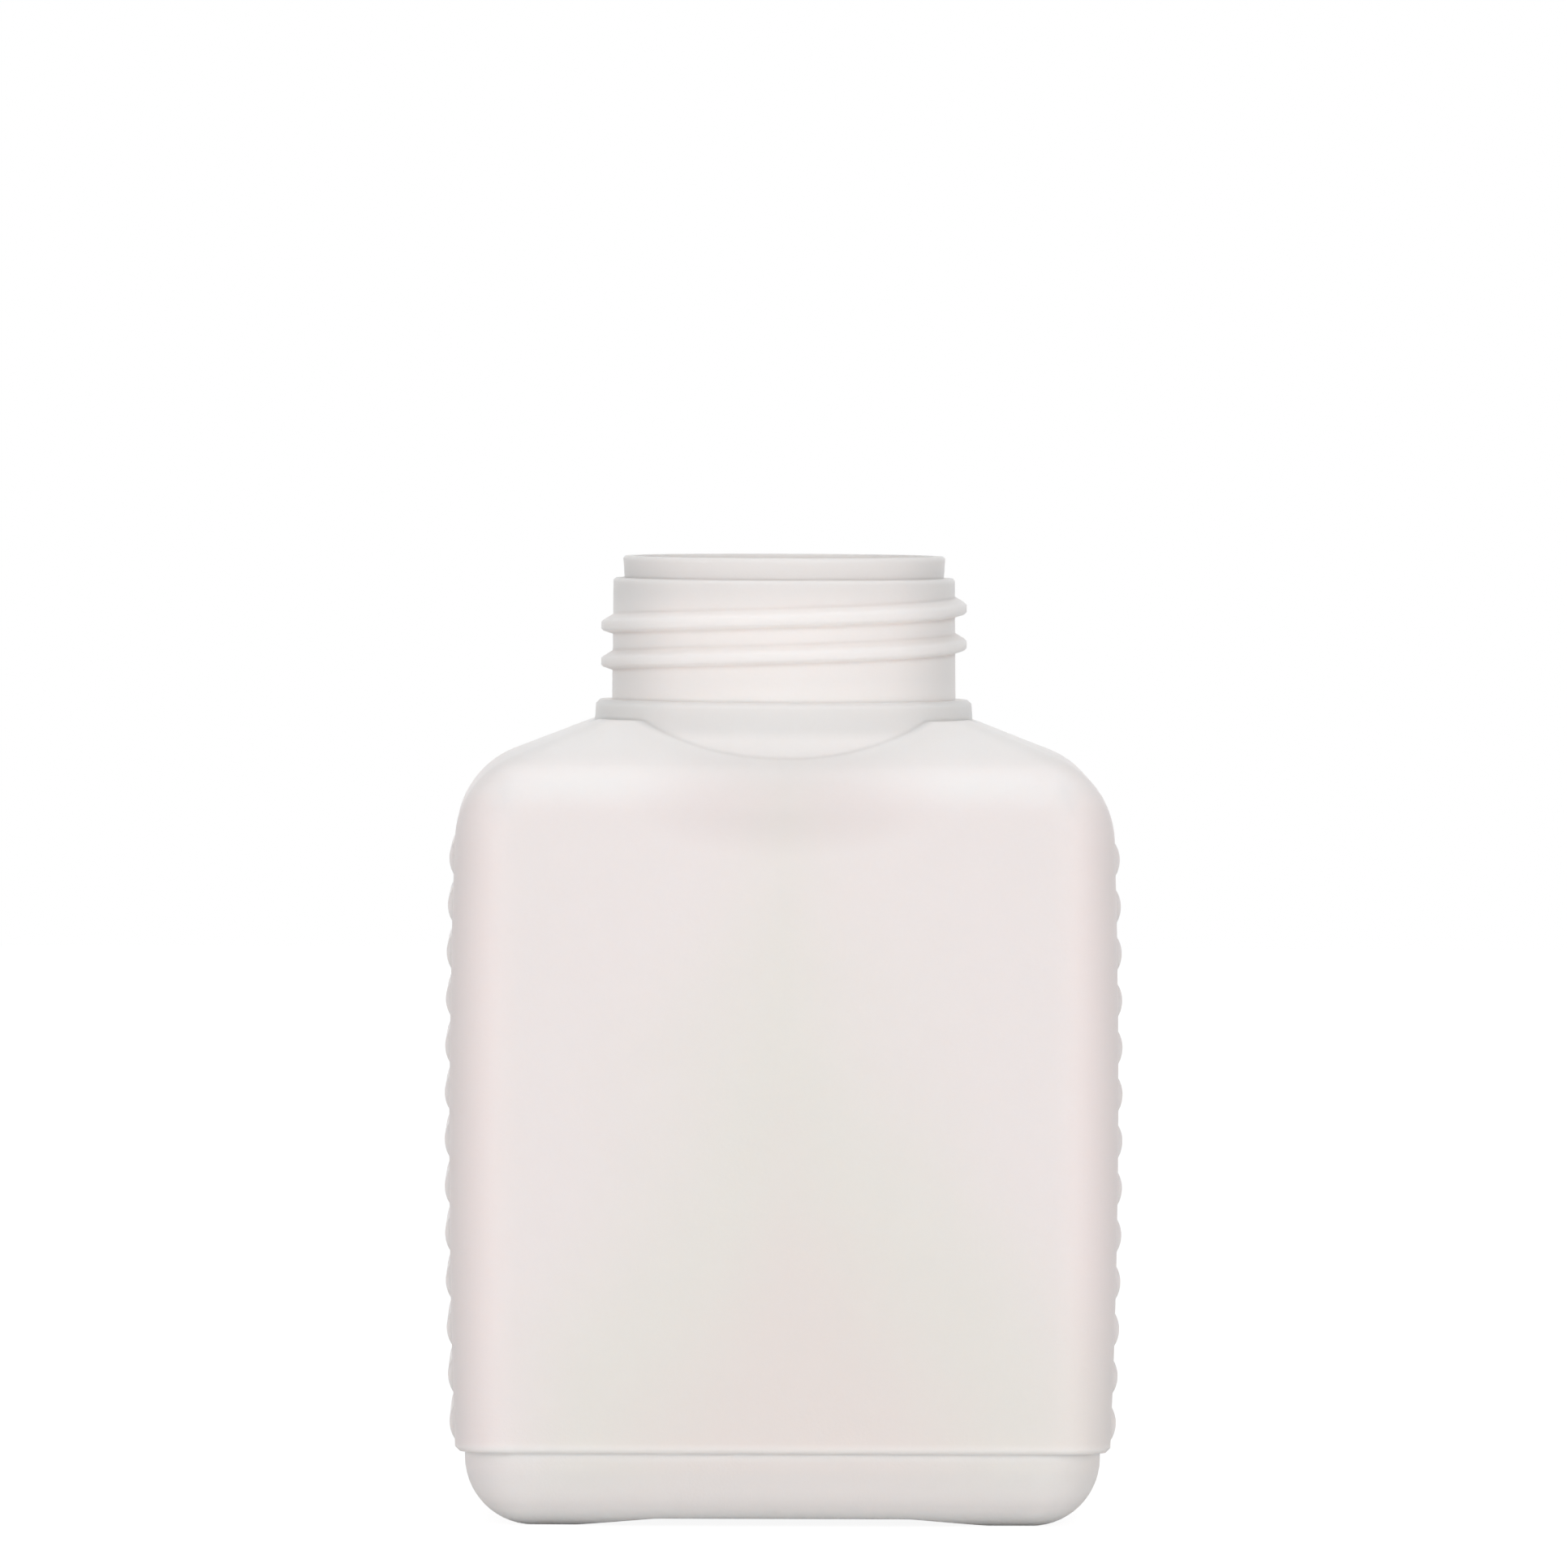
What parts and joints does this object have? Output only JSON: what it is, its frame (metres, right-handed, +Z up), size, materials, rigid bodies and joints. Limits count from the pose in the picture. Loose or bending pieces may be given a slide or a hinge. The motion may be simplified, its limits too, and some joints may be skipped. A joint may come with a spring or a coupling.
{
  "type": "oblong wide-mouth reagent bottle",
  "caption": "Open wide-mouth plastic bottle with an oblong body, hipped shoulder, beaded grip sides, stepped foot and a threaded neck for a screw cap.",
  "frame": {"origin": "middle of the footprint, on the surface that the four corner feet stand on", "axes": "+Z up through the mouth, +X along the broad face towards the right-hand row of grip beads, -Y out of the front broad face"},
  "size_m": [0.0922, 0.062, 0.1315],
  "materials": {
    "natural_polyethylene": "natural, milky and slightly translucent, satin from the blow mould"
  },
  "bodies": {
    "root": {"bottle": "natural_polyethylene"}
  },
  "joints": []
}
